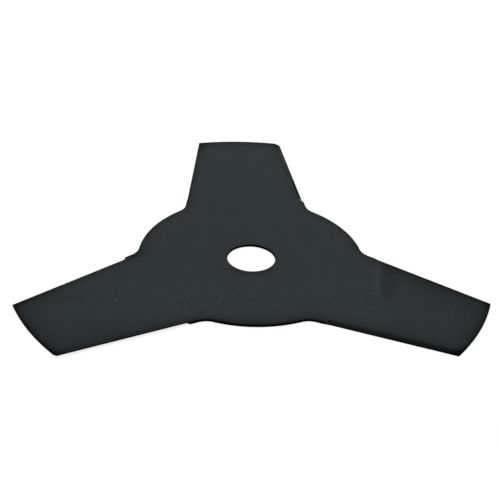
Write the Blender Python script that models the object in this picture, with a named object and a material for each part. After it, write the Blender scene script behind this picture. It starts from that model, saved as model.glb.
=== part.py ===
"""Brush cutter blade: a hub disc with three tapering arms, blanked from one flat plate of steel.

Lengths are in metres and +Z is up. The origin is on the bore's axis, halfway through the plate, and one
arm points along +Y. Both long edges of each arm are ground to a bevel: the clockwise edge, seen from
above, on the top face, and the counter-clockwise edge on the underside. So the blade is the same when it
is turned over.
"""

import math

import bmesh
import bpy
from mathutils import Matrix, Vector

# Sizes of the blank
TIP_DIAMETER = 0.255  # circle that the three tips run on
BORE_DIAMETER = 0.0254  # arbor hole
HUB_DIAMETER = 0.1194
THICKNESS = 0.0014
ARM_ROOT_WIDTH = 0.0656  # across an arm, at the hub's radius
ARM_TIP_WIDTH = 0.0488  # across an arm, at the tips' radius, before grinding
FILLET_RADIUS = 0.0095  # in the corner between the hub and an arm
RIM_ROUNDING = 0.00015  # radius that blanking and paint leave on every rim
ARM_COUNT = 3
FIRST_ARM_ANGLE = math.radians(90)

# Sizes of the grinding, the same on every edge
PLAIN_EDGE = 0.0043  # edge left as blanked between a fillet and the grinding
RUN_OUT = 0.0025  # length along the edge in which the bevel grows to its full width
SET_BACK = 0.0003  # how far grinding takes the edge in
BEVEL_WIDTH = 0.003  # seen from straight above
EDGE_LAND = 0.0003  # height of the blunt wall left below the bevel

# How finely curves are divided, and how far cutters reach past the steel
CHORD_ERROR = 0.00001
ROUNDING_RESOLUTION = 1
CUTTER_MARGIN = 0.002
WELD_DISTANCE = 0.000001

# Finish
PAINT_COLOUR = (0.034, 0.040, 0.042, 1.0)
PAINT_ROUGHNESS = 0.55

HUB_RADIUS = HUB_DIAMETER / 2
TIP_RADIUS = TIP_DIAMETER / 2


def arm_angles():
    return [FIRST_ARM_ANGLE + math.tau * i / ARM_COUNT for i in range(ARM_COUNT)]


def arc(centre, radius, start, end):
    """Points along an arc, with both its ends, close enough for its chords to keep within CHORD_ERROR."""
    largest_step = 2 * math.acos(1 - CHORD_ERROR / radius)
    steps = max(1, math.ceil(abs(end - start) / largest_step))
    angles = [start + (end - start) * i / steps for i in range(steps + 1)]
    return [centre + radius * Vector((math.cos(a), math.sin(a))) for a in angles]


class ArmEdge:
    """The straight clockwise edge of an arm that points along +X.

    A point on it is given by its distance along the edge, from the foot of the perpendicular that the
    origin drops on the edge, and by its inset towards the middle of the arm.
    """

    def __init__(self):
        root = Vector((HUB_RADIUS, -ARM_ROOT_WIDTH / 2))
        tip = Vector((TIP_RADIUS, -ARM_TIP_WIDTH / 2))
        self.along = (tip - root).normalized()
        self.outward = Vector((self.along.y, -self.along.x))
        self.offset = self.outward.dot(root)
        reach_squared = (HUB_RADIUS + FILLET_RADIUS) ** 2 - (self.offset + FILLET_RADIUS) ** 2
        self.fillet_end = math.sqrt(reach_squared)
        self.grind_start = self.fillet_end + PLAIN_EDGE
        self.grind_full = self.grind_start + RUN_OUT

    def point(self, distance, inset):
        return self.along * distance + self.outward * (self.offset - inset)

    def tip_corner(self, inset):
        """Where the edge, moved in by inset, meets the tip circle."""
        distance = math.sqrt(TIP_RADIUS**2 - (self.offset - inset) ** 2)
        return self.point(distance, inset)


def heading(direction):
    return math.atan2(direction.y, direction.x)


def half_arm(edge):
    """Outline from midway between two arms, out along the edge, to the middle of the tip."""
    centre = Vector((0, 0))
    fillet_centre = edge.point(edge.fillet_end, -FILLET_RADIUS)
    hub_end = heading(fillet_centre)
    points = arc(centre, HUB_RADIUS, -math.pi / ARM_COUNT, hub_end)
    points += arc(fillet_centre, FILLET_RADIUS, hub_end + math.pi, heading(-edge.outward))[1:]
    points.append(edge.point(edge.grind_start, 0))
    points.append(edge.point(edge.grind_full, SET_BACK))
    points += arc(centre, TIP_RADIUS, heading(edge.tip_corner(SET_BACK)), 0)
    return points


def blank_outline(edge):
    """The whole outline, counter-clockwise: an arm made of two mirrored halves, turned to each place."""
    clockwise_side = half_arm(edge)
    other_side = [Vector((p.x, -p.y)) for p in reversed(clockwise_side)]
    arm = clockwise_side + other_side[1:-1]
    return [Matrix.Rotation(angle, 2) @ p for angle in arm_angles() for p in arm]


def plate(name, outlines, thickness, rounding, collection):
    """A flat plate, centred on z = 0, from closed outlines. One inside another is a hole."""
    curve = bpy.data.curves.new(name, "CURVE")
    curve.dimensions = "2D"
    curve.fill_mode = "BOTH"
    curve.extrude = thickness / 2 - rounding
    curve.bevel_depth = rounding
    curve.bevel_resolution = ROUNDING_RESOLUTION
    curve.offset = -rounding
    for outline in outlines:
        spline = curve.splines.new("POLY")
        spline.points.add(len(outline) - 1)
        for point, place in zip(spline.points, outline):
            point.co = (place.x, place.y, 0, 1)
        spline.use_cyclic_u = True
    flat = bpy.data.objects.new(name + "_outline", curve)
    collection.objects.link(flat)
    bpy.context.view_layer.update()
    solid = bpy.data.objects.new(name, welded_mesh(flat, name))
    solid.matrix_world = flat.matrix_world
    collection.objects.link(solid)
    bpy.data.objects.remove(flat)
    return solid


def welded_mesh(curve_object, name):
    """The curve object's surface as a closed mesh, with its caps joined to its sides."""
    evaluated = curve_object.evaluated_get(bpy.context.evaluated_depsgraph_get())
    mesh = bpy.data.meshes.new_from_object(evaluated)
    mesh.name = name
    work = bmesh.new()
    work.from_mesh(mesh)
    bmesh.ops.remove_doubles(work, verts=work.verts, dist=WELD_DISTANCE)
    bmesh.ops.recalc_face_normals(work, faces=work.faces)
    work.to_mesh(mesh)
    work.free()
    return mesh


def grinding_cutter(edge, collection):
    """What the wheel takes off the top face along the clockwise edge of an arm that points along +X.

    It is a slab whose lower face is the bevel. Its outline has x along the edge and y inwards from the
    bevel's inner line, and it is tipped about that line until it leaves EDGE_LAND at the edge.
    """
    ground_width = SET_BACK + BEVEL_WIDTH
    reach = ground_width + CUTTER_MARGIN
    run_out_lean = RUN_OUT / ground_width
    far_end = TIP_RADIUS + CUTTER_MARGIN
    outline = [
        Vector((edge.grind_full, 0)),
        Vector((edge.grind_full - run_out_lean * reach, -reach)),
        Vector((far_end, -reach)),
        Vector((far_end, 0)),
    ]
    height = THICKNESS + CUTTER_MARGIN
    cutter = plate("grinding", [outline], height, 0, collection)
    slope = math.atan2(THICKNESS - EDGE_LAND, BEVEL_WIDTH)
    inner_line = edge.point(0, ground_width)
    stand_up = Matrix.Translation((0, 0, height / 2))
    tip_down = Matrix.Rotation(slope, 4, "X")
    swing = Matrix.Rotation(heading(edge.along), 4, "Z")
    place = Matrix.Translation((inner_line.x, inner_line.y, THICKNESS / 2))
    cutter.data.transform(place @ swing @ tip_down @ stand_up)
    return cutter


def add_grinding_cutters(edge, collection):
    """A cutter for each edge: turned to each arm, and turned over for the edges of the underside."""
    first = grinding_cutter(edge, collection)
    faces = {"top": Matrix.Identity(4), "underside": Matrix.Rotation(math.pi, 4, "X")}
    for number, angle in enumerate(arm_angles(), 1):
        for face, turn_over in faces.items():
            cutter = bpy.data.objects.new(f"grinding_{face}_{number}", first.data)
            cutter.matrix_world = Matrix.Rotation(angle, 4, "Z") @ turn_over
            cutter.display_type = "WIRE"
            cutter.hide_render = True
            collection.objects.link(cutter)
    bpy.data.objects.remove(first)


def black_paint():
    material = bpy.data.materials.new("black_painted_steel")
    material.use_nodes = True
    shader = material.node_tree.nodes["Principled BSDF"]
    shader.inputs["Base Color"].default_value = PAINT_COLOUR
    shader.inputs["Roughness"].default_value = PAINT_ROUGHNESS
    shader.inputs["Metallic"].default_value = 0.0
    return material


def new_collection(name):
    collection = bpy.data.collections.new(name)
    bpy.context.scene.collection.children.link(collection)
    return collection


def main():
    for old in list(bpy.data.objects):
        bpy.data.objects.remove(old)
    parts = new_collection("brush_cutter_blade")
    cutters = new_collection("cutters")
    edge = ArmEdge()
    bore = arc(Vector((0, 0)), BORE_DIAMETER / 2, 0, math.tau)[:-1]
    blade = plate("blade", [blank_outline(edge), bore], THICKNESS, RIM_ROUNDING, parts)
    add_grinding_cutters(edge, cutters)
    cut = blade.modifiers.new("grinding", "BOOLEAN")
    cut.operation = "DIFFERENCE"
    cut.solver = "EXACT"
    cut.operand_type = "COLLECTION"
    cut.collection = cutters
    blade.data.materials.append(black_paint())
    blade.data.shade_smooth()
    blade.data.set_sharp_from_angle(angle=math.radians(35))


main()
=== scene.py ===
# %% [markdown]
# A blade for a brush cutter: one flat steel plate with a round hub, an arbor hole and three arms, each arm
# ground to a bevel along both edges, and the whole painted black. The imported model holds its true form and
# size. This file adds the fine work that shows close up, the finish, and a plain studio to stand in.
#
# Everything is in metres, and +Z is up. One arm points along +Y.

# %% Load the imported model
import math

import bmesh
import bpy
from mathutils import Matrix, Vector


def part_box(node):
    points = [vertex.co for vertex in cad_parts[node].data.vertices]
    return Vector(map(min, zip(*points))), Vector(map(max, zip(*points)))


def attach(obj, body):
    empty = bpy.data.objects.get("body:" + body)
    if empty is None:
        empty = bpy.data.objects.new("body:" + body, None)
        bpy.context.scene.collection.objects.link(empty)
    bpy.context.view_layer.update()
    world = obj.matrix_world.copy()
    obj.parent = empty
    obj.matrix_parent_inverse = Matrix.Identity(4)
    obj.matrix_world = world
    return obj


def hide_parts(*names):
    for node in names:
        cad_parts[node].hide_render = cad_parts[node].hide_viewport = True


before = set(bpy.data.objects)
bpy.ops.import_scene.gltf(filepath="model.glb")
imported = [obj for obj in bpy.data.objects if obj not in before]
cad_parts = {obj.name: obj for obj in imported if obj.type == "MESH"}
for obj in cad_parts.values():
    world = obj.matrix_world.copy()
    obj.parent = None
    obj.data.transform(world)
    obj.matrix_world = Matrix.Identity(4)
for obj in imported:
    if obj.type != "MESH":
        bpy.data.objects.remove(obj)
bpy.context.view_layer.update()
plain_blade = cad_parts["blade"]
lowest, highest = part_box("blade")
print("The blade is", [round(1000 * side, 2) for side in highest - lowest], "mm.")

# %% [markdown]
# The camera comes first, because it decides how fine the work has to be. The photograph was taken from low
# down in front of the blade. A camera could be placed and then aimed with a Track To constraint, but that
# can't give the slight roll that a hand-held camera has. So the blade is turned and moved into the camera's
# own space, and the inverse of that matrix is where the camera stands. The middle of the lens's view isn't
# the middle of the picture, which the two shifts take care of.

# %% Camera
PICTURE_SIDE = 500  # pixels
FOCAL_LENGTH = 1353.76  # pixels
LENS_CENTRE = Vector((300, 225))  # pixels from the picture's top left corner
SENSOR_WIDTH = 36.0  # millimetres
ELEVATION = math.radians(31.978)
TURN = math.radians(7.319)
ROLL = math.radians(-4.336)
BLADE_FROM_CAMERA = Vector((-0.025824, -0.018489, -0.716176))
NEAREST_SEEN = 0.05
FARTHEST_SEEN = 30


def photograph_camera():
    data = bpy.data.cameras.new("camera")
    data.sensor_width = SENSOR_WIDTH
    data.lens = FOCAL_LENGTH * SENSOR_WIDTH / PICTURE_SIDE
    data.shift_x = 0.5 - LENS_CENTRE.x / PICTURE_SIDE
    data.shift_y = LENS_CENTRE.y / PICTURE_SIDE - 0.5
    data.clip_start = NEAREST_SEEN
    data.clip_end = FARTHEST_SEEN
    camera = bpy.data.objects.new("camera", data)
    tilt = Matrix.Rotation(ROLL, 4, "Z") @ Matrix.Rotation(ELEVATION - math.pi / 2, 4, "X")
    stand = Matrix.Rotation(TURN, 4, "Z") @ Matrix.Translation((0, 0, -lowest.z))
    camera.matrix_world = (Matrix.Translation(BLADE_FROM_CAMERA) @ tilt @ stand).inverted()
    bpy.context.scene.collection.objects.link(camera)
    bpy.context.scene.camera = camera
    return camera


camera = photograph_camera()
print("The camera is at", [round(1000 * c) for c in camera.matrix_world.translation], "mm.")

# %% [markdown]
# The blade repeats itself. Half an arm, with its share of the hub, holds all there is: a ground edge on one
# face and a plain edge on the other. Turned over about its arm it gives the arm's other half, and turned
# round the hole it gives the other arms. So only one half-arm is worked on.
#
# It could be drawn again from its sizes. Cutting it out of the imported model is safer, because the form stays
# exactly the same. The loose triangles are welded, two upright planes cut the half-arm free, and the
# triangles of each flat face are joined into one.

# %% Cut out one half-arm
ARM_COUNT = 3
WELD_DISTANCE = 0.000001
CUT_TOLERANCE = WELD_DISTANCE / 10
FLAT_ANGLE = math.radians(0.5)


def half_arm_of(model):
    """The clockwise half of the arm along +Y, from the arm's middle to the middle of the next gap."""
    work = bmesh.new()
    work.from_mesh(model.data)
    bmesh.ops.remove_doubles(work, verts=work.verts, dist=WELD_DISTANCE)
    gap_middle = math.pi / 2 - math.pi / ARM_COUNT
    for side in (Vector((1, 0, 0)), Vector((-math.sin(gap_middle), math.cos(gap_middle), 0))):
        bmesh.ops.bisect_plane(
            work,
            geom=work.verts[:] + work.edges[:] + work.faces[:],
            dist=CUT_TOLERANCE,
            plane_co=(0, 0, 0),
            plane_no=side,
            clear_inner=True,
        )
    bmesh.ops.dissolve_limit(work, angle_limit=FLAT_ANGLE, verts=work.verts, edges=work.edges)
    return work


work = half_arm_of(plain_blade)
print("The half-arm has", len(work.faces), "faces.")

# %% [markdown]
# The faces to work on are found by what they are, not by number. The top is the largest face that looks
# straight up, and the bevel is the largest that leans. Where the wheel was lifted off, a short steep wall
# joins the two. The line where the top and the bevel meet gives the directions for all that follows.

# %% Find the ground faces and their directions
LEVEL = 0.9999  # a face whose normal rises more than this is flat
STEEP = 0.5  # and one whose normal rises less than this is a wall


def area(face):
    return face.calc_area()


def leaning_faces():
    return [face for face in work.faces if STEEP < face.normal.z < LEVEL]


def touches(face, other):
    return any(edge in other.edges for edge in face.edges)


top = max((face for face in work.faces if face.normal.z > LEVEL), key=area)
bevel = max(leaning_faces(), key=area)
steep_faces = [face for face in work.faces if abs(face.normal.z) < STEEP]
run_out = max((face for face in steep_faces if touches(face, top) and touches(face, bevel)), key=area)
inner_line = max((edge for edge in top.edges if edge in bevel.edges), key=lambda edge: edge.calc_length())

line_start, line_end = sorted((vert.co.copy() for vert in inner_line.verts), key=lambda place: place.y)
ALONG = (line_end - line_start).normalized()
OUTWARD = Vector((ALONG.y, -ALONG.x, 0))
INNER_LINE = line_start.dot(OUTWARD)
RUN_OUT_END = line_start.dot(ALONG)
ground_corners = [vert.co for vert in bevel.verts if vert.co.dot(ALONG) > RUN_OUT_END - WELD_DISTANCE]
GROUND_EDGE = max(corner.dot(OUTWARD) for corner in ground_corners)
print("The bevel is", round(1000 * (GROUND_EDGE - INNER_LINE), 2), "mm wide.")

# %% [markdown]
# The paint will need a few more sizes of the blade, and they are read from the same mesh while its corners
# are still at hand: the tip's arc, the hub and the hole.

# %% Read the other sizes
TIP_RADIUS = highest.y
HUB_RADIUS = max(vert.co.xy.length for vert in work.verts if vert.co.x > vert.co.y)
HOLE_RADIUS = min(vert.co.xy.length for vert in work.verts)
print("Tip, hub and hole radius:", [round(1000 * r, 2) for r in (TIP_RADIUS, HUB_RADIUS, HOLE_RADIUS)], "mm.")

# %% [markdown]
# A film of paint never leaves an edge razor sharp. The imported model's rims are rounded, but its ground edges
# aren't, so they are rounded here. A Bevel modifier would round every edge past some angle. The operator
# takes a list of edges, and these are picked by the faces that they touch.

# %% Round the ground edges
SHARP_ANGLE = math.radians(50)
PAINTED_ROUNDING = 0.0001
ROUNDING_SEGMENTS = 2
SLIVER = 0.00001

sharp_edges = [
    edge
    for edge in set(bevel.edges) | set(run_out.edges)
    if not edge.is_boundary and edge.calc_face_angle() > SHARP_ANGLE
]
bmesh.ops.bevel(
    work,
    geom=sharp_edges,
    offset=PAINTED_ROUNDING,
    offset_type="OFFSET",
    segments=ROUNDING_SEGMENTS,
    profile=0.5,  # part of a circle
    affect="EDGES",
    clamp_overlap=True,
)
bmesh.ops.dissolve_degenerate(work, dist=SLIVER, edges=work.edges)
print("Rounded", len(sharp_edges), "edges.")

# %% [markdown]
# The wheel leaves fine furrows across a bevel, and its inner line is never quite straight. Both need points
# that can move, so the bevel is cut into a net: a few cuts along the edge, and many across it. Subdividing
# would spread points over every face. The cuts put them on the bevel alone, and the top, which stays one
# flat face, only gains corners along the inner line.

# %% Cut the bevel into a net
FURROW_SPACING = 0.0004
BEVEL_ROWS = 5

ground = work.faces.layers.float.new("ground")
max(leaning_faces(), key=area)[ground] = 1.0


def cut_ground(distance, direction, reached=-math.inf):
    """Cuts the ground faces past reached with an upright plane, at this distance from the hole's axis."""
    ground_faces = [face for face in work.faces if face[ground]]
    faces = [face for face in ground_faces if face.calc_center_median().dot(direction) > reached]
    geometry = set(faces)
    for face in faces:
        geometry.update(face.edges)
        geometry.update(face.verts)
    place = direction * distance
    bmesh.ops.bisect_plane(work, geom=list(geometry), dist=WELD_DISTANCE, plane_co=place, plane_no=direction)


for row in range(1, BEVEL_ROWS):
    cut_ground(INNER_LINE + (GROUND_EDGE - INNER_LINE) * row / BEVEL_ROWS, OUTWARD)

furrow_count = math.floor((TIP_RADIUS - RUN_OUT_END) / FURROW_SPACING)
for furrow in range(1, furrow_count):
    furrow_place = RUN_OUT_END + furrow * FURROW_SPACING
    cut_ground(furrow_place, ALONG, reached=furrow_place - FURROW_SPACING)
print("The half-arm has", len(work.faces), "faces now.")

# %% [markdown]
# Each point now gets three things to carry along. The first is its place seen from the edge: how far along
# it, and how far in. The paint needs that, and it holds on every arm. The others are weights. One is for the
# furrows: full on the points inside the bevel, and less where they run out over its edges. One is for the
# wander of the inner line, on the line's own points. With no weight at all, the points along an edge would
# lie in one exact row, and an export would make triangles without area between them.

# %% Give the points their places and weights
EDGE_SHARE = 0.3  # of a furrow's depth


def weigh_points():
    edge_place = work.verts.layers.float_vector.new("edge_place")
    furrow = work.verts.layers.float.new("furrow")
    wander = work.verts.layers.float.new("wander")
    for vert in work.verts:
        vert[edge_place] = (vert.co.dot(ALONG), GROUND_EDGE - vert.co.dot(OUTWARD), 0)
        ground_sides = sum(face[ground] > 0 for face in vert.link_faces)
        top_sides = sum(face.normal.z > LEVEL for face in vert.link_faces)
        sides = len(vert.link_faces)
        at_edge = 0 < ground_sides < sides and top_sides == 0
        vert[furrow] = 1.0 if ground_sides == sides else EDGE_SHARE * at_edge
        vert[wander] = float(ground_sides > 0 and top_sides > 0 and ground_sides + top_sides == sides)
    return [sum(vert[layer] > 0 for vert in work.verts) for layer in (furrow, wander)]


furrow_points, line_points = weigh_points()
print(furrow_points, "points move with the furrows, and", line_points, "with the inner line.")

# %% [markdown]
# So far the half-arm is only a mesh in memory. A node tree runs on an object, so it is put in one. The
# object has the finished blade's name, because it will hold the whole blade later.

# %% The half-arm as an object
def half_arm_object():
    mesh = bpy.data.meshes.new("brush_cutter_blade")
    work.to_mesh(mesh)
    work.free()
    half_arm = bpy.data.objects.new("brush_cutter_blade", mesh)
    bpy.context.scene.collection.objects.link(half_arm)
    return half_arm


blade = half_arm_object()
print("The half-arm's mesh has", len(blade.data.vertices), "points.")

# %% [markdown]
# Trees of nodes are long to write out in Python, so a small helper adds the nodes. An input is given as a
# number, a vector or another node's output, and only an output makes a link.

# %% A helper for building trees
class Tree:
    """Adds nodes to a tree, with their inputs given by name or number."""

    def __init__(self, tree):
        self.tree = tree

    def node(self, kind, inputs=None, **settings):
        node = self.tree.nodes.new(kind)
        for name, value in settings.items():
            setattr(node, name, value)
        for name, value in (inputs or {}).items():
            if isinstance(value, bpy.types.NodeSocket):
                self.tree.links.new(value, node.inputs[name])
            else:
                node.inputs[name].default_value = value
        return node

    def math(self, operation, *values):
        return self.node("ShaderNodeMath", dict(enumerate(values)), operation=operation).outputs[0]

    def vector_math(self, operation, *values):
        node = self.node("ShaderNodeVectorMath", dict(enumerate(values)), operation=operation)
        gives_number = operation in {"LENGTH", "DOT_PRODUCT"}
        return node.outputs["Value" if gives_number else "Vector"]

    def scaled(self, vector, factor):
        inputs = {"Vector": vector, "Scale": factor}
        return self.node("ShaderNodeVectorMath", inputs, operation="SCALE").outputs["Vector"]


# %% [markdown]
# The tree does the repeating. The half-arm is turned over about its arm for the arm's other half, the pair
# is set on points that are turned round the hole, and the seams are welded. An Array modifier on an empty
# could repeat the arms, but it couldn't turn one over, and every arm would be the same to the last furrow.
# Here each half-arm has its own number, which shifts the noise that moves its points.

# %% Pieces of the tree: repeating
def store(build, geometry, name, domain, value):
    inputs = {"Geometry": geometry, "Name": name, "Value": value}
    node = build.node("GeometryNodeStoreNamedAttribute", inputs, domain=domain, data_type="FLOAT")
    return node.outputs["Geometry"]


def both_halves(build, half_arm):
    """The half-arm, and the same turned over about its arm."""
    turned = build.node("GeometryNodeTransform", {"Geometry": half_arm, "Rotation": (0, math.pi, 0)})
    join = build.node("GeometryNodeJoinGeometry")
    for number, geometry in enumerate((half_arm, turned.outputs["Geometry"])):
        build.tree.links.new(store(build, geometry, "half", "POINT", number), join.inputs["Geometry"])
    return join.outputs["Geometry"]


def round_the_hole(build, arm, count):
    """The arm on as many points as there are arms, each turned by its share of a full turn."""
    points = build.node("GeometryNodePoints", {"Count": count, "Position": (0, 0, 0)})
    index = build.node("GeometryNodeInputIndex").outputs["Index"]
    angle = build.math("DIVIDE", build.math("MULTIPLY", index, math.tau), count)
    rotation = build.node("ShaderNodeCombineXYZ", {"Z": angle}).outputs["Vector"]
    inputs = {"Points": points.outputs["Points"], "Instance": arm, "Rotation": rotation}
    instances = build.node("GeometryNodeInstanceOnPoints", inputs).outputs["Instances"]
    numbered = store(build, instances, "arm", "INSTANCE", index)
    return build.node("GeometryNodeRealizeInstances", {"Geometry": numbered}).outputs["Geometry"]


# %% [markdown]
# Noise along the edge moves the weighted points. A furrow goes straight in or out, along the normal. The
# inner line may only slide in the plane of the top, or the top would no longer be flat, so for it the normal
# is laid level first.

# %% Pieces of the tree: the wheel's marks
HALF_ARM_STEP = 17.3  # how far apart two half-arms read their noise
WANDER_PLACE = 0.0  # where the inner line's wander reads its noise
FURROW_PLACE = 5.0  # and where the furrows read theirs
MARKS_DETAIL = 2.0


def carried(build, name, data_type="FLOAT"):
    node = build.node("GeometryNodeInputNamedAttribute", {"Name": name}, data_type=data_type)
    return node.outputs["Attribute"]


def waver(build, wavelength, seed, noise_place):
    """Noise between -1 and 1 that changes along the edge, and is another one on each half-arm."""
    edge_place = carried(build, "edge_place", "FLOAT_VECTOR")
    along = build.node("ShaderNodeSeparateXYZ", {"Vector": edge_place}).outputs["X"]
    waves = build.math("DIVIDE", along, wavelength)
    place = build.node("ShaderNodeCombineXYZ", {"X": waves}).outputs["Vector"]
    number = build.math("MULTIPLY_ADD", carried(build, "arm"), 2.0, carried(build, "half"))
    far_apart = build.math("MULTIPLY_ADD", number, HALF_ARM_STEP, build.math("ADD", seed, noise_place))
    inputs = {"Vector": place, "W": far_apart, "Scale": 1.0, "Detail": MARKS_DETAIL}
    noise = build.node("ShaderNodeTexNoise", inputs, noise_dimensions="4D").outputs[0]
    return build.math("MULTIPLY_ADD", noise, 2.0, -1.0)


def moved(build, geometry, direction, most, noise, weight):
    distance = build.math("MULTIPLY", build.math("MULTIPLY", noise, most), carried(build, weight))
    inputs = {"Geometry": geometry, "Offset": build.scaled(direction, distance)}
    return build.node("GeometryNodeSetPosition", inputs).outputs["Geometry"]


def marked_by_wheel(build, geometry, given):
    normal = build.node("GeometryNodeInputNormal").outputs["Normal"]
    laid_level = build.vector_math("NORMALIZE", build.vector_math("MULTIPLY", normal, (1, 1, 0)))
    wandering = waver(build, given["Wander Wavelength"], given["Seed"], WANDER_PLACE)
    geometry = moved(build, geometry, laid_level, given["Wander"], wandering, "wander")
    furrowing = waver(build, given["Furrow Wavelength"], given["Seed"], FURROW_PLACE)
    return moved(build, geometry, normal, given["Furrow Depth"], furrowing, "furrow")


# %% [markdown]
# The last piece marks the walls for the paint, keeps the flat faces flat-shaded so that they show no false
# roundness, and gives the whole its material. The named inputs let someone else try other values without
# opening the tree.

# %% Pieces of the tree: walls, shading and finish
RIM_RISE = 0.93  # the normal of a wall, or of the rounding beside it, rises less than this


def finished(build, geometry, material):
    normal = build.node("GeometryNodeInputNormal").outputs["Normal"]
    rise = build.math("ABSOLUTE", build.node("ShaderNodeSeparateXYZ", {"Vector": normal}).outputs["Z"])
    geometry = store(build, geometry, "wall", "FACE", build.math("LESS_THAN", rise, RIM_RISE))
    leans = build.node("FunctionNodeCompare", {"A": rise, "B": LEVEL}, operation="LESS_THAN")
    inputs = {"Geometry": geometry, "Shade Smooth": leans.outputs["Result"]}
    geometry = build.node("GeometryNodeSetShadeSmooth", inputs, domain="FACE").outputs["Geometry"]
    inputs = {"Geometry": geometry, "Material": material}
    return build.node("GeometryNodeSetMaterial", inputs).outputs["Geometry"]


# %% [markdown]
# The pieces are joined in their order: both halves, all the arms, one weld, the wheel's marks, the finish.
# The marks come after the weld, since a point on a seam has one normal there and moves as one. Python could
# build the whole mesh without a tree, but then a furrow could only be made deeper by running it all again.

# %% Put the tree together
def blade_tree():
    tree = bpy.data.node_groups.new("blade_from_half_arm", "GeometryNodeTree")
    tree.is_modifier = True
    tree.interface.new_socket("Half Arm", in_out="INPUT", socket_type="NodeSocketGeometry")
    kinds = {"Arm Count": "NodeSocketInt", "Finish": "NodeSocketMaterial"}
    names = ["Arm Count", "Weld Distance", "Furrow Wavelength", "Furrow Depth", "Wander Wavelength", "Wander"]
    sockets = {}
    for name in names + ["Seed", "Finish"]:
        kind = kinds.get(name, "NodeSocketFloat")
        sockets[name] = tree.interface.new_socket(name, in_out="INPUT", socket_type=kind).identifier
    tree.interface.new_socket("Blade", in_out="OUTPUT", socket_type="NodeSocketGeometry")

    build = Tree(tree)
    given = build.node("NodeGroupInput").outputs
    whole = round_the_hole(build, both_halves(build, given["Half Arm"]), given["Arm Count"])
    inputs = {"Geometry": whole, "Distance": given["Weld Distance"]}
    whole = build.node("GeometryNodeMergeByDistance", inputs).outputs["Geometry"]
    whole = marked_by_wheel(build, whole, given)
    build.node("NodeGroupOutput", {"Blade": finished(build, whole, given["Finish"])})
    return tree, sockets


tree, sockets = blade_tree()
print("The tree has", len(tree.nodes), "nodes.")

# %% [markdown]
# The paint comes before the tree is run, because the tree hands it to the mesh. On the real blade it is one
# coat of semi-matt black on steel. A single colour would make the blade look like a cut-out. Besides the
# coat's own uneven tone and a few chips at its corners, the colour here carries painted light: painted shade
# along the rims, on the bevels, on the walls and on the lower arms, a painted highlight near the upper arm's
# tip, and painted reflections in a band and a streak, beside which a patch is darker.
#
# Each of these is a mask between 0 and 1, worked out from where a point lies. Object coordinates give the
# place on the whole blade, and the stored place gives the distance from each arm's own edge.

# %% The places that the paint's masks need
MM = 0.001

paint = bpy.data.materials.new("black_paint")
paint.use_nodes = True
coat = Tree(paint.node_tree)


def carried_by_mesh(name, output="Fac"):
    return coat.node("ShaderNodeAttribute", attribute_name=name).outputs[output]


place = coat.node("ShaderNodeTexCoord").outputs["Object"]
x, y, z = coat.node("ShaderNodeSeparateXYZ", {"Vector": place}).outputs
reach = coat.vector_math("LENGTH", coat.vector_math("MULTIPLY", place, (1, 1, 0)))
edge_place = carried_by_mesh("edge_place", "Vector")
from_edge = coat.node("ShaderNodeSeparateXYZ", {"Vector": edge_place}).outputs["Y"]
on_ground = carried_by_mesh("ground")
on_wall = carried_by_mesh("wall")


def tell(made):
    print(made, "done. The paint has", len(paint.node_tree.nodes), "nodes so far.")


tell("Places")

# %% [markdown]
# Every mask is made of the same few steps. A Map Range node turns a distance into a soft edge, a Noise node
# breaks it up, and a product keeps what lies in both of two masks. As helpers they keep each mask to a line
# or two that can be read as a sentence. The first mask is the simplest: 1 on the top face, and 0 on the
# underside.

# %% Helpers for masks
def ranged(value, start, end, low=0.0, high=1.0, rise="SMOOTHSTEP"):
    """Low up to start, high past end, and a rise between them."""
    inputs = {"Value": value, "From Min": start, "From Max": end, "To Min": low, "To Max": high}
    return coat.node("ShaderNodeMapRange", inputs, interpolation_type=rise).outputs["Result"]


def noise(vector, grain, detail=2.0, seed=0.0):
    """Noise whose lumps are about one grain across."""
    inputs = {"Vector": vector, "W": seed, "Scale": 1 / grain, "Detail": detail}
    return coat.node("ShaderNodeTexNoise", inputs, noise_dimensions="4D").outputs[0]


def product(first, *others):
    for other in others:
        first = coat.math("MULTIPLY", first, other)
    return first


def kept(lost):
    """The share that is left when this share is lost."""
    return coat.math("SUBTRACT", 1.0, lost)


on_top = ranged(z, 0.0, highest.z)
tell("Mask of the top face")

# %% [markdown]
# Along every rim the colour is darkened as a painted shade: a narrow line at the rim, and a wide shade that
# fades inwards. It is deepest on the two lower arms, and deepest of all along the right arm's upper rim. A
# mask called heavy says how much of the deeper painted shade a place has, and every size of the rim is mixed
# by it.
#
# The distance to the rim could be baked into the mesh, but a blade is simple enough to work it out: the arm's
# edge, the tip's arc and the hub each give a distance, and a smooth minimum and maximum join them. The hole's
# rim has painted shade as well, darkest at its lower side.

# %% Painted shade along the rims
CORNER_ROUND_OFF = 12 * MM
FILLET_ROUND_OFF = 9 * MM
LIGHT_RIM = {"depth": 0.55, "line": 1.7 * MM, "shade": 1.7 * MM, "tip_pace": 0.5}
HEAVY_RIM = {"depth": 0.88, "line": 1.3 * MM, "shade": 7.5 * MM, "tip_pace": 1.15}
LINE_SHARE = 0.5  # of a rim's depth; the rest is the wide shade's
HIGH_UP = 0.25  # how heavy the rims are there, from 0 for light to 1 for heavy
NEAR_HUB = 0.55
UPPER_SIDE = 1.3  # the right arm's upper rim is the heaviest
UP_RIGHT_ARM = (0.5, 0.866, 0)  # square to the right arm's middle line
HOLE_RIM = {"depth": 0.85, "width": 2.8 * MM}
HOLE_TOP_SHARE = 0.22

# heavy: how much of the deeper painted shade along the rims each place has
low_down = ranged(y, -26 * MM, -38 * MM, HIGH_UP, 1.0)
up_right_arm = coat.vector_math("DOT_PRODUCT", place, UP_RIGHT_ARM)
upper_side = ranged(up_right_arm, -10 * MM, 15 * MM, 1.0, UPPER_SIDE)
on_right = product(ranged(x, 50 * MM, 85 * MM), upper_side)
outwards = ranged(reach, 60 * MM, 100 * MM, NEAR_HUB, 1.0)
heavy = product(coat.math("MAXIMUM", low_down, on_right), ranged(y, 45 * MM, -5 * MM), outwards)


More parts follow.
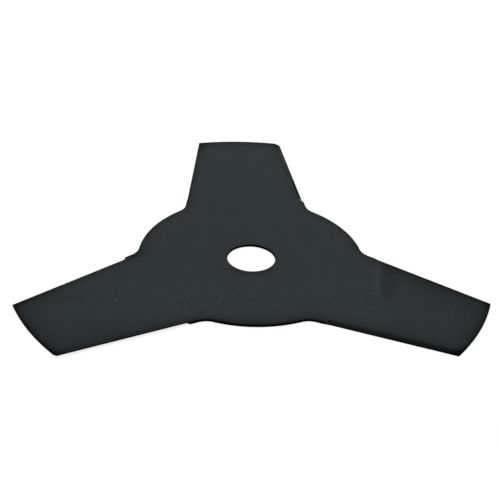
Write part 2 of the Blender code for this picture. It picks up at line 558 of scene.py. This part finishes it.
def between(size):
    """This size of a rim: a light rim's, a heavy rim's, or one between them."""
    light = LIGHT_RIM[size]
    return coat.math("MULTIPLY_ADD", heavy, HEAVY_RIM[size] - light, light)


from_tip = product(coat.math("SUBTRACT", TIP_RADIUS, reach), between("tip_pace"))
in_arm = coat.math("SMOOTH_MIN", from_edge, from_tip, CORNER_ROUND_OFF)
in_hub = coat.math("SUBTRACT", HUB_RADIUS, reach)
from_rim = coat.math("MAXIMUM", coat.math("SMOOTH_MAX", in_arm, in_hub, FILLET_ROUND_OFF), 0.0)
from_hole = coat.math("MAXIMUM", coat.math("SUBTRACT", reach, HOLE_RADIUS), 0.0)


def fading(distance, width):
    """1 at the rim, and about a third of that for each width inwards."""
    return coat.math("EXPONENT", coat.math("MULTIPLY", coat.math("DIVIDE", distance, width), -1.0))


rim_line = fading(from_rim, between("line"))
wide_shade = fading(from_rim, between("shade"))
rim_fade = coat.math("MULTIPLY_ADD", rim_line, LINE_SHARE, product(wide_shade, 1 - LINE_SHARE))
rim_shade = product(between("depth"), rim_fade)
below_hole = ranged(y, -0.7 * HOLE_RADIUS, -HOLE_RADIUS, HOLE_TOP_SHARE, 1.0)
hole_shade = product(below_hole, HOLE_RIM["depth"], fading(from_hole, HOLE_RIM["width"]))
rims = product(kept(rim_shade), kept(hole_shade))
tell("Dark rims")

# %% [markdown]
# The bevels carry painted shade, darker on some than on others and changing along each, as the light from
# behind falls on them; near the upper arm's tip the share rises above 1, a painted highlight. A Color Ramp
# holds that, by how far up or down the blade a bevel lies. Across a bevel the outer edge is mostly the
# darkest, and a second ramp says by how much: where it says 1, the inner line is twice as light as the edge.
# On the left arm, and near the upper one's tip, a line of painted shade also runs along the bevel, inset from
# the edge. The walls are painted almost black, a painted shade on the sides of the plate that the light
# doesn't reach.

# %% Painted shade on the bevels and the walls
RIGHT_BEVEL = {-80: 0.30, -68: 0.40, -58: 0.46}  # millimetres up the blade, and the share of the tone there
LEFT_BEVEL = {-38: 0.28, -27: 0.50, -3: 0.58}
# Shares above 1 near the upper arm's tip are a painted highlight.
UPPER_BEVEL = {62: 0.26, 78: 0.38, 91: 1.15, 112: 1.80}
INSIDE_GAINS = {-60: 1.15, -45: 0.90, 0: 0.90, 55: 2.00, 78: 1.50, 88: 0.0}
UPPER_LINE = {"inset": 2.7 * MM, "half_width": 1.8 * MM, "depth": 0.45}
LEFT_LINE = {"inset": 1.8 * MM, "half_width": 4.2 * MM, "depth": 0.38}
LEFT_TIP_GAIN = 2.0
# The walls' share of the tone, a painted shade.
WALL_SHADE = 0.06


def ramp(value, stops):
    """A ramp over stops, which are places in millimetres with their levels."""
    first, last = min(stops), max(stops)
    share = ranged(value, first * MM, last * MM, rise="LINEAR")
    node = coat.node("ShaderNodeValToRGB", {"Fac": share})
    elements = node.color_ramp.elements
    for number, (stop, level) in enumerate(sorted(stops.items())):
        position = (stop - first) / (last - first)
        element = elements[number] if number < len(elements) else elements.new(position)
        element.position = position
        element.color = (level, level, level, 1)
    return node.outputs["Color"]


def dark_line(stretch, inset, half_width, depth):
    """The share lost to a line that runs inset from the edges, where stretch lets it."""
    off_line = coat.math("ABSOLUTE", coat.math("SUBTRACT", from_edge, inset))
    return product(ranged(off_line, half_width, 0.0), stretch, depth)


bevel_width = GROUND_EDGE - INNER_LINE
paler_inside = product(ranged(from_edge, 0.0, bevel_width, rise="LINEAR"), ramp(y, INSIDE_GAINS))
bevel_shade = ramp(y, RIGHT_BEVEL | LEFT_BEVEL | UPPER_BEVEL)
ground_shade = product(bevel_shade, coat.math("ADD", paler_inside, 1.0))
ground_loss = product(on_ground, kept(ground_shade))
near_upper_tip = product(ranged(y, 76 * MM, 94 * MM), ranged(x, 0.0, 10 * MM))
more_near_tip = ranged(x, -90 * MM, -114 * MM, 1.0, LEFT_TIP_GAIN)
along_left_arm = product(ranged(x, -50 * MM, -60 * MM), ranged(y, -50 * MM, -44 * MM), more_near_tip)
upper_line = dark_line(near_upper_tip, **UPPER_LINE)
left_line = dark_line(along_left_arm, **LEFT_LINE)
wall_loss = product(on_wall, 1 - WALL_SHADE)
faces = product(kept(ground_loss), kept(upper_line), kept(left_line), kept(wall_loss))
tell("Bevels and walls")

# %% [markdown]
# Even a good coat isn't one flat tone. It has soft clouds tens of millimetres across, strokes of a few
# millimetres that run the way it was brushed down, and a grain of about a millimetre. All three are noise that
# is held within a fifth of the tone, so that it is felt more than seen. One noise with many levels of detail
# would be less work, but then the three couldn't be set apart. The outer parts of the two lower arms are
# painted a shade darker, a painted shade for the dimmer light there.

# %% Clouds, strokes and grain
TONES = {"clouds": (35 * MM, 0.12), "strokes": (4 * MM, 0.34), "grain": (1.1 * MM, 0.40)}  # size, amount
FINE_DETAIL = 3.0
BRUSHED_DOWN = (1, 0.5, 1)  # noise read at half the pace has lumps twice as long
LEFT_ARM_TONE = 0.965
RIGHT_ARM_TONE = 0.945


def unevenness(vector, grain, amount, seed):
    """A factor that stays near 1, give or take half the amount."""
    return coat.math("MULTIPLY_ADD", noise(vector, grain, FINE_DETAIL, seed), amount, 1 - amount / 2)


stretched_down = coat.vector_math("MULTIPLY", place, BRUSHED_DOWN)
clouds = unevenness(place, *TONES["clouds"], seed=1.0)
strokes = unevenness(stretched_down, *TONES["strokes"], seed=2.0)
grain = unevenness(place, *TONES["grain"], seed=3.0)
# The outer parts of the lower arms are painted a shade darker, a painted shade.
left_arm = ranged(x, -60 * MM, -90 * MM, 1.0, LEFT_ARM_TONE)
right_arm = ranged(x, 58 * MM, 84 * MM, 1.0, RIGHT_ARM_TONE)
tone = product(clouds, strokes, grain, left_arm, right_arm)
tell("Unevenness")

# %% [markdown]
# A band of painted reflection crosses the top below the hole: light and dark specks, as where a lamp's
# reflection shows up the fine skin of the paint, in a faint lighter haze of painted sheen. It is a soft mask
# for the place, times noise cut off at a level, so that only its peaks are left as specks, and a coarser noise
# that thins them out here and there. Specks drawn one by one would look too neat, and take longer.

# %% A band of painted reflection across the blade
BAND_MIDDLE = {"y": -38 * MM, "sway": 5 * MM, "sway_length": 50 * MM}
BAND_ENDS = {"left": -120 * MM, "left_fade": 20 * MM, "right": 74 * MM, "right_fade": 12 * MM}
BAND_WIDTHS = (12.5 * MM, 2 * MM)  # from the middle line to where it ends, and to where it is full
HAZE_WIDTHS = (24 * MM, 5 * MM)
# The haze is a faint painted sheen around the band.
HAZE = 0.07
GAP_SIZE = 11 * MM
GAPS = {"start": 0.38, "end": 0.58, "low": 0.6, "high": 1.0}
BAND_STRETCH = (0.42, 1, 1)
BAND_LIGHT = {"grain": 0.8 * MM, "seed": 5.0, "start": 0.48, "end": 0.70, "strength": 0.75}
BAND_DARK = {"grain": 0.8 * MM, "seed": 6.0, "start": 0.50, "end": 0.72, "strength": 0.42}


def specks(mask, vector, grain, seed, start, end, strength):
    """The peaks of noise inside the mask: nothing below start, and the full strength from end up."""
    return product(mask, ranged(noise(vector, grain, FINE_DETAIL, seed), start, end), strength)


sway = noise(place, BAND_MIDDLE["sway_length"], detail=1.0, seed=4.0)
lowest_middle = BAND_MIDDLE["y"] - BAND_MIDDLE["sway"] / 2
middle = coat.math("MULTIPLY_ADD", sway, BAND_MIDDLE["sway"], lowest_middle)
off_band = coat.math("ABSOLUTE", coat.math("SUBTRACT", y, middle))
left_end = ranged(x, BAND_ENDS["left"], BAND_ENDS["left"] + BAND_ENDS["left_fade"])
right_end = ranged(x, BAND_ENDS["right"], BAND_ENDS["right"] - BAND_ENDS["right_fade"])
gaps = ranged(noise(place, GAP_SIZE, seed=13.0), **GAPS)
band = product(ranged(off_band, *BAND_WIDTHS), left_end, right_end, gaps)
haze = product(ranged(off_band, *HAZE_WIDTHS), left_end, right_end, HAZE)
stretched_across = coat.vector_math("MULTIPLY", place, BAND_STRETCH)
band_light = specks(band, stretched_across, **BAND_LIGHT)
band_dark = specks(band, stretched_across, **BAND_DARK)
tell("Band of scuffs")

# %% [markdown]
# A short streak of painted reflection, light and dark specks, also runs down the right arm, and beside it the
# paint is darker in a patch. Both follow a slanted line, so they share one mask: how far a point is along the
# line, and how far to its side. Light specks and dark ones are added up apart, because light ones may overlap
# and still look right, while dark ones must never go below black.

# %% A streak of painted reflection and a dark patch on the right arm
STREAK_LINE = [Vector((69, 0, 0)) * MM, Vector((63, -34, 0)) * MM]
STREAK_SHAPE = {"half_width": 3.0 * MM, "softness": 1.6 * MM, "ends": 6 * MM}
STREAK_LIGHT = {"grain": 0.7 * MM, "seed": 7.0, "start": 0.44, "end": 0.62, "strength": 0.90}
STREAK_DARK = {"grain": 0.8 * MM, "seed": 8.0, "start": 0.48, "end": 0.66, "strength": 0.25}
PATCH_LINE = [Vector((75, 2, 0)) * MM, Vector((68, -38, 0)) * MM]
PATCH_SHAPE = {"half_width": 6.8 * MM, "softness": 4.5 * MM, "ends": 16 * MM}
PATCH_GRAIN = 1.2 * MM
PATCH_DARK = {"start": 0.36, "end": 0.62, "low": 0.17, "high": 0.38}


def stripe(where, start, end, half_width, softness, ends):
    """1 along the line from start to end, fading over softness at its sides and over ends at its ends."""
    way = (end - start).normalized()
    from_start = coat.vector_math("SUBTRACT", where, tuple(start))
    down = coat.vector_math("DOT_PRODUCT", from_start, tuple(way))
    aside = coat.math("ABSOLUTE", coat.vector_math("DOT_PRODUCT", from_start, (way.y, -way.x, 0)))
    length = (end - start).length
    first_end = ranged(down, -ends / 2, ends / 2)
    last_end = ranged(down, length + ends / 2, length - ends / 2)
    return product(ranged(aside, half_width, half_width - softness), product(first_end, last_end))


streak = stripe(place, *STREAK_LINE, **STREAK_SHAPE)
streak_light = specks(streak, stretched_down, **STREAK_LIGHT)
streak_dark = specks(streak, stretched_down, **STREAK_DARK)
patch = stripe(place, *PATCH_LINE, **PATCH_SHAPE)
patch_dark = product(patch, ranged(noise(stretched_down, PATCH_GRAIN, seed=12.0), **PATCH_DARK))
# Painted reflection: the light specks and haze of the band and the streak, with their dark specks; the patch
# is darker.
all_light = coat.math("ADD", coat.math("ADD", band_light, haze), streak_light)
reflection_light = coat.math("MULTIPLY_ADD", on_top, all_light, 1.0)
all_dark = coat.math("ADD", coat.math("ADD", band_dark, streak_dark), patch_dark)
reflection_and_patch_dark = kept(product(on_top, all_dark))
reflection_and_patch = product(reflection_light, reflection_and_patch_dark)
tell("Streak and patch")

# %% [markdown]
# Where the grinding wheel was lifted off, the paint has chipped, and a sliver of steel a millimetre or two
# long shows in the upper part of the wall. One tip has lost a speck too. Each is a short stripe, and noise
# added to its place makes its outline ragged. The chips could be cut into the mesh, but a coat of paint is
# thinner than a tenth of a millimetre, and the change of colour, metal and gloss is what the eye sees.

# %% Chips of bare steel
CHIPS = {
    "top arm": ((31.7, 60.2), (30.9, 61.3), 0.50),
    "right arm": ((34.1, -56.9), (34.5, -57.0), 0.45),
    "left arm": ((-68.0, -3.4), (-67.6, -3.2), 0.40),
    "right tip": ((97.6, -82.9), (98.2, -82.3), 0.55),
}  # from, to and half width in millimetres
CHIP_SOFTNESS = 0.3 * MM
CHIP_BOTTOM = (-0.35 * MM, -0.05 * MM)  # no steel below the first height, and all of it above the second
RAGGED = 0.5 * MM
LUMP = 0.7 * MM

lumps = coat.node("ShaderNodeTexNoise", {"Vector": place, "Scale": 1 / LUMP, "Detail": 2.0})
shift = coat.vector_math("SUBTRACT", lumps.outputs["Color"], (0.5, 0.5, 0.5))
ragged_shift = coat.vector_math("MULTIPLY", shift, (RAGGED, RAGGED, 0))
ragged_place = coat.vector_math("ADD", place, ragged_shift)
chips = 0.0
for start, end, half_width in CHIPS.values():
    line = [Vector((*corner, 0)) * MM for corner in (start, end)]
    chip = stripe(ragged_place, *line, half_width * MM, softness=CHIP_SOFTNESS, ends=CHIP_SOFTNESS)
    chips = coat.math("MAXIMUM", chips, chip)
chips = product(chips, ranged(z, *CHIP_BOTTOM))
tell("Chips")

# %% [markdown]
# Now the masks meet. The colour is the paint's own, a little browner in the painted shade at the rims and on
# the dark patch, and scaled by all the shares that are left, the painted shade and the painted reflections
# among them. The band, the streak, the darker rims and the walls are rougher, and the chips are metal. One
# material holds it all, since the real coat is one too, and a mark can then cross from the top on to a bevel
# without a seam.

# %% Colour, metal and gloss
PAINT = (0.0217, 0.0266, 0.0278, 1)
RIM_PAINT = (0.0243, 0.0265, 0.0258, 1)
STEEL = (0.22, 0.22, 0.21, 1)
PAINT_ROUGHNESS = 0.66
STEEL_ROUGHNESS = 0.40
PAINT_GLOSS = 0.04
BROWN = {"rims": 1.6, "patch": 0.3}
ROUGHER = {"band_or_streak": 0.06, "rims and walls": 0.34}


def mixed(factor, first, second):
    node = coat.node("ShaderNodeMix", {"Factor": factor}, data_type="RGBA")
    for name, value in (("A", first), ("B", second)):
        socket = next(s for s in node.inputs if s.name == name and s.type == "RGBA")
        if isinstance(value, bpy.types.NodeSocket):
            paint.node_tree.links.new(value, socket)
        else:
            socket.default_value = value
    return next(s for s in node.outputs if s.type == "RGBA")


brown_patch = product(patch, on_top, BROWN["patch"])
browner = coat.math("MINIMUM", coat.math("MULTIPLY_ADD", rim_shade, BROWN["rims"], brown_patch), 1.0)
painted = coat.scaled(mixed(browner, PAINT, RIM_PAINT), product(rims, faces, tone, reflection_and_patch))
# The band and the streak of painted reflection are rougher too.
band_or_streak = product(on_top, coat.math("ADD", band, streak))
dark_rim_or_wall = coat.math("MAXIMUM", rim_shade, on_wall)
roughness = coat.math("MULTIPLY_ADD", band_or_streak, ROUGHER["band_or_streak"], PAINT_ROUGHNESS)
roughness = coat.math("MULTIPLY_ADD", dark_rim_or_wall, ROUGHER["rims and walls"], roughness)
roughness = coat.math("MULTIPLY_ADD", chips, STEEL_ROUGHNESS - PAINT_ROUGHNESS, roughness)
tell("Colour and roughness")

# %% [markdown]
# The last of the paint is its relief: the faint skin of dried paint, like an orange's peel, the grain of
# ground steel through it on the bevels, upright tears on the sheared walls, and the steps at the chips. All
# are far too small to model, so they go through a Bump node.

# %% Relief
RELIEF = {"Strength": 0.25, "Distance": 0.02 * MM}
PEEL_SIZE = 0.8 * MM
GRAIN_SIZE = 0.35 * MM
TEAR_SIZE = 0.3 * MM
UPRIGHT = (1, 1, 0.15)
CHIP_DEPTH = 2.0  # where the peel's is 1

peel = noise(place, PEEL_SIZE, seed=9.0)
ground_grain = product(on_ground, noise(place, GRAIN_SIZE, seed=10.0))
upright = coat.vector_math("MULTIPLY", place, UPRIGHT)
tears = product(on_wall, noise(upright, TEAR_SIZE, seed=11.0))
torn_or_chipped = coat.math("SUBTRACT", tears, product(chips, CHIP_DEPTH))
height = coat.math("ADD", coat.math("ADD", peel, ground_grain), torn_or_chipped)
bump = coat.node("ShaderNodeBump", {"Height": height, **RELIEF})

shader = paint.node_tree.nodes["Principled BSDF"]
for socket, value in {
    "Base Color": mixed(chips, painted, STEEL),
    "Metallic": chips,
    "Roughness": roughness,
    "Normal": bump.outputs["Normal"],
}.items():
    paint.node_tree.links.new(value, shader.inputs[socket])
shader.inputs["Specular IOR Level"].default_value = PAINT_GLOSS
tell("Relief")

# %% [markdown]
# With its values set, the tree makes the whole blade. Its result is kept as a plain mesh, so that the blade
# holds its form without the node tree. A weld that missed would leave open edges, so these are counted.

# %% Run the tree
def made_by(tree, sockets, piece, values):
    """Runs the tree on the piece with these values, and keeps the result as its plain mesh."""
    modifier = piece.modifiers.new(tree.name, "NODES")
    modifier.node_group = tree
    for name, value in values.items():
        modifier[sockets[name]] = value
    evaluated = piece.evaluated_get(bpy.context.evaluated_depsgraph_get())
    mesh = bpy.data.meshes.new_from_object(evaluated)
    piece.modifiers.remove(modifier)
    piece.data = mesh


def open_edge_count(mesh):
    check = bmesh.new()
    check.from_mesh(mesh)
    count = sum(not edge.is_manifold for edge in check.edges)
    check.free()
    return count


values = {
    "Arm Count": ARM_COUNT,
    "Weld Distance": WELD_DISTANCE,
    "Furrow Wavelength": 3 * FURROW_SPACING,
    "Furrow Depth": 0.00002,
    "Wander Wavelength": 0.009,
    "Wander": 0.0001,
    "Seed": 4.0,
    "Finish": paint,
}
made_by(tree, sockets, blade, values)
blade.data.calc_loop_triangles()
triangle_count = len(blade.data.loop_triangles)
print("The blade has", triangle_count, "triangles and", open_edge_count(blade.data), "open edges.")

# %% [markdown]
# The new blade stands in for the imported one. It rides on the same body, so that the two move alike, and its
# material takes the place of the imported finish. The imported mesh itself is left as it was.

# %% Put the blade in the frame
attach(blade, "root")
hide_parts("blade")
print("The blade rides on the root body, and the imported blade is hidden.")

# %% [markdown]
# The blade lies on plain white, with hardly a shadow. The floor is a pale sheet. Lamps bright enough to make
# it look pure white would wash out the paint. So the sheet is mixed with a white glow that lights nothing:
# only the camera, reflections and glass see it. The share of the sheet that is left keeps the soft shadow.

# %% Floor
FLOOR_RADIUS = 1.5
FLOOR_SIDES = 96
FLOOR_GAP = 0.00002
FLOOR_COLOUR = (0.85, 0.85, 0.85, 1)
FLOOR_ROUGHNESS = 0.9
GLOW_STRENGTH = 1.10
GLOW_SHARE = 0.75


def seen_directly(build):
    """1 for what the camera sees, also in a reflection or through glass, and 0 for light on its way."""
    rays = build.node("ShaderNodeLightPath").outputs
    seen = build.math("MAXIMUM", rays["Is Camera Ray"], rays["Is Glossy Ray"])
    return build.math("MAXIMUM", seen, rays["Is Transmission Ray"])


def floor_material():
    material = bpy.data.materials.new("pale_floor")
    material.use_nodes = True
    build = Tree(material.node_tree)
    sheet = material.node_tree.nodes["Principled BSDF"]
    sheet.inputs["Base Color"].default_value = FLOOR_COLOUR
    sheet.inputs["Roughness"].default_value = FLOOR_ROUGHNESS
    sheet.inputs["Specular IOR Level"].default_value = 0.0
    glow = build.node("ShaderNodeEmission", {"Strength": GLOW_STRENGTH})
    share = build.math("MULTIPLY", seen_directly(build), GLOW_SHARE)
    inputs = {0: share, 1: sheet.outputs["BSDF"], 2: glow.outputs["Emission"]}
    both = build.node("ShaderNodeMixShader", inputs)
    output = material.node_tree.nodes["Material Output"]
    material.node_tree.links.new(both.outputs["Shader"], output.inputs["Surface"])
    return material


def make_floor():
    mesh = bpy.data.meshes.new("floor")
    disc = bmesh.new()
    bmesh.ops.create_circle(disc, cap_ends=True, segments=FLOOR_SIDES, radius=FLOOR_RADIUS)
    disc.to_mesh(mesh)
    disc.free()
    mesh.materials.append(floor_material())
    floor = bpy.data.objects.new("floor", mesh)
    floor.location.z = lowest.z - FLOOR_GAP
    bpy.context.scene.collection.objects.link(floor)
    return floor


floor = make_floor()
print("The floor lies", round(1000 * (lowest.z - floor.location.z), 3), "mm below the blade.")

# %% [markdown]
# The light is that of a small studio: a pale room all round, and one large soft lamp overhead and a little
# behind. Light from behind skims over the plate, and leaves the walls and the bevels that face the camera
# dark. The room is white to the camera and in reflections, and dimmer as a light, so that between them the
# room and the lamp show a colour about as it is written.

# %% Lights
ROOM_LEVEL = 0.3
KEY = {"place": Vector((0.21, 1.40, 2.59)), "size": 1.7, "power": 70}


def pale_room():
    world = bpy.data.worlds.new("pale_room")
    world.use_nodes = True
    build = Tree(world.node_tree)
    background = world.node_tree.nodes["Background"]
    background.inputs["Color"].default_value = (1, 1, 1, 1)
    strength = build.math("MULTIPLY_ADD", seen_directly(build), 1 - ROOM_LEVEL, ROOM_LEVEL)
    world.node_tree.links.new(strength, background.inputs["Strength"])
    bpy.context.scene.world = world


def soft_lamp(name, place, size, power):
    """A round lamp that looks at the blade."""
    data = bpy.data.lights.new(name, "AREA")
    data.shape = "DISK"
    data.size = size
    data.energy = power
    lamp = bpy.data.objects.new(name, data)
    lamp.location = place
    lamp.rotation_euler = (-place).to_track_quat("-Z", "Y").to_euler()
    bpy.context.scene.collection.objects.link(lamp)


pale_room()
soft_lamp("key", **KEY)
bpy.context.scene.view_settings.view_transform = "Standard"
print("The lamp hangs", round(KEY["place"].length, 2), "m from the middle of the blade.")
